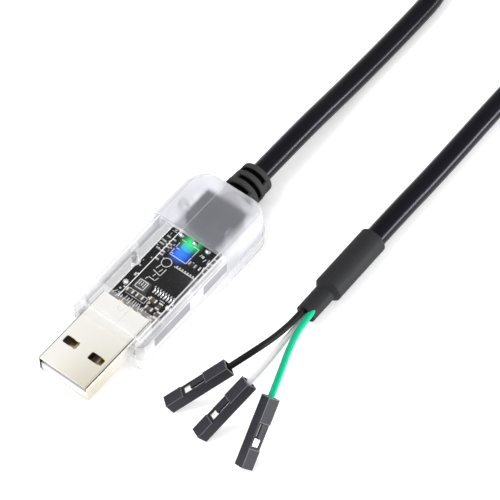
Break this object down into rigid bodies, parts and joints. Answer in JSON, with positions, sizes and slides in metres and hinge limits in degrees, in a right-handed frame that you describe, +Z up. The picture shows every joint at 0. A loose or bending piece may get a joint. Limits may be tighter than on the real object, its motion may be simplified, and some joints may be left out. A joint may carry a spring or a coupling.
{
  "type": "usb to ttl adapter",
  "caption": "USB to serial adapter with a metal plug, a lit circuit board in a clear housing, a ribbed strain relief and a round cable that splits into wires with pin sockets.",
  "frame": {"origin": "centre of the footprint of the plug, housing and strain relief, on the surface they lie on", "axes": "+X along the adapter from the plug's nose towards the cable, +Y to the side away from the wires, +Z up"},
  "size_m": [0.214, 0.0608, 0.0113],
  "materials": {
    "nickel_shell": "satin",
    "white_insulator": "matte",
    "gold_contact": "polished",
    "clear_housing": "gloss",
    "black_board": "gloss",
    "chip_black": "matte",
    "tinned_lead": "bright",
    "green_led": "lit",
    "blue_led": "lit",
    "resistor_black": "gloss",
    "capacitor_tan": "matte",
    "fuse_grey": "matte",
    "solder": "bright",
    "relief_rubber": "matte",
    "cable_jacket": "gloss",
    "tie_black": "matte",
    "sleeve_grey": "matte",
    "black_wire": "satin",
    "white_wire": "satin",
    "green_wire": "satin",
    "socket_black": "satin",
    "tinned_terminal": "bright"
  },
  "bodies": {
    "root": {"usb_shell": "nickel_shell", "usb_insulator": "white_insulator", "usb_contacts": "gold_contact", "housing_bottom": "clear_housing", "housing_top": "clear_housing", "circuit_board": "black_board", "interface_chip": "chip_black", "chip_leads": "tinned_lead", "green_led": "green_led", "blue_led": "blue_led", "chip_resistors": "resistor_black", "chip_capacitors": "capacitor_tan", "resettable_fuse": "fuse_grey", "solder_joints": "solder", "white_inner_lead": "white_wire", "green_inner_lead": "green_wire", "black_inner_lead": "black_wire", "strain_relief": "relief_rubber", "cable_out": "cable_jacket", "cable_back": "cable_jacket", "cable_coil": "cable_jacket", "coil_tie": "tie_black", "shrink_sleeve": "sleeve_grey", "black_wire": "black_wire", "white_wire": "white_wire", "green_wire": "green_wire", "black_socket": "socket_black", "white_socket": "socket_black", "green_socket": "socket_black", "black_terminal": "tinned_terminal", "white_terminal": "tinned_terminal", "green_terminal": "tinned_terminal"}
  },
  "joints": []
}
